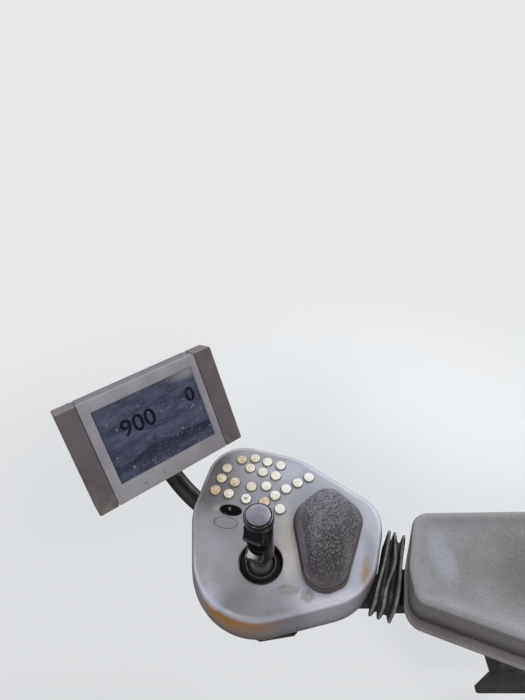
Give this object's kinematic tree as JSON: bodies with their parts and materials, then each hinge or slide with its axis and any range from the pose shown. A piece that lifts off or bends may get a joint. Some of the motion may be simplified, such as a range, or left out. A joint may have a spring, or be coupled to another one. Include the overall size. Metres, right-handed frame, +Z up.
{
  "type": "operator control armrest",
  "caption": "Operator control armrest on a seat-side bracket: pod with joystick, round keys and palm pad, dished pad, bellows, and a display on a bent arm.",
  "frame": {"origin": "centre of the seat bracket's flat face, in the middle of its four bolt holes", "axes": "+X back along the forearm towards the elbow, +Y outboard away from the operator, +Z up"},
  "size_m": [0.7325, 0.3793, 0.4838],
  "materials": {
    "black_steel": "satin black paint",
    "zinc_steel": "zinc plated",
    "moulded_grey": "worn satin moulding",
    "pan_charcoal": "matt",
    "rest_tray": "fine grained",
    "rest_foam": "soft skinned foam",
    "bellows_rubber": "dusty",
    "palm_foam": "coarse grained",
    "key_ivory": "worn",
    "gloss_black": "glossy",
    "cap_grey": "satin",
    "case_taupe": "fine grained",
    "bezel_grey": "satin",
    "screen": "dusty dark screen"
  },
  "bodies": {
    "bracket": {"bracket_plate": "black_steel", "guide_tube": "black_steel", "height_knob": "gloss_black"},
    "post": {"post_tube": "zinc_steel", "hinge_head": "black_steel", "hinge_pin": "zinc_steel"},
    "arm": {"arm_beam": "black_steel", "armrest_tray": "rest_tray", "armrest_pad": "rest_foam", "bellows": "bellows_rubber"},
    "pod": {"pod_shell": "moulded_grey", "pod_pan": "pan_charcoal", "slide_bar": "black_steel", "slide_lever": "gloss_black", "palm_pad": "palm_foam", "palm_pad_rim": "palm_foam", "keypad": "key_ivory", "oval_rocker": "gloss_black", "oval_plug": "moulded_grey", "boot_ring": "gloss_black", "gaiter": "bellows_rubber", "stick_base": "black_steel", "arm_stub": "zinc_steel"},
    "gimbal": {"gimbal_ring": "zinc_steel"},
    "stick": {"stick_shaft": "zinc_steel", "grip": "gloss_black", "grip_cap": "cap_grey", "thumb_rocker": "gloss_black", "lower_rocker": "gloss_black"},
    "display_arm": {"arm_hub": "black_steel", "arm_tube": "black_steel", "arm_head": "black_steel"},
    "display": {"display_back": "case_taupe", "display_bezel": "bezel_grey", "end_strip_left": "case_taupe", "end_strip_right": "case_taupe", "screen_glass": "screen", "tilt_lugs": "black_steel", "tilt_pin": "zinc_steel"}
  },
  "joints": [
    {"name": "post_slide", "type": "slide", "parent": "bracket", "child": "post", "axis": [0, 0, 1], "range_m": [0, 0.08]},
    {"name": "arm_lift", "type": "hinge", "parent": "post", "child": "arm", "pos_m": [0.02, 0.045, 0.2049], "axis": [0, 1, 0], "range_deg": [0, 70]},
    {"name": "pod_slide", "type": "slide", "parent": "arm", "child": "pod", "axis": [-1, 0, 0], "range_m": [0, 0.06], "deforming": ["bellows"]},
    {"name": "stick_fore_aft", "type": "hinge", "parent": "pod", "child": "gimbal", "pos_m": [-0.4, 0.06, 0.23], "axis": [0, 1, 0], "range_deg": [-20, 20], "stiffness_Nm_per_rad": 2, "deforming": ["gaiter"]},
    {"name": "stick_side", "type": "hinge", "parent": "gimbal", "child": "stick", "pos_m": [-0.4, 0.06, 0.23], "axis": [1, 0, 0], "range_deg": [-20, 20], "stiffness_Nm_per_rad": 2, "deforming": ["gaiter"]},
    {"name": "arm_swivel", "type": "hinge", "parent": "pod", "child": "display_arm", "pos_m": [-0.45, 0.151, 0.1805], "axis": [0, 0, 1], "range_deg": [-12, 30]},
    {"name": "display_tilt", "type": "hinge", "parent": "display_arm", "child": "display", "pos_m": [-0.55358, 0.23684, 0.30771], "axis": [0.809, 0.5878, 0], "range_deg": [-15, 20]}
  ]
}
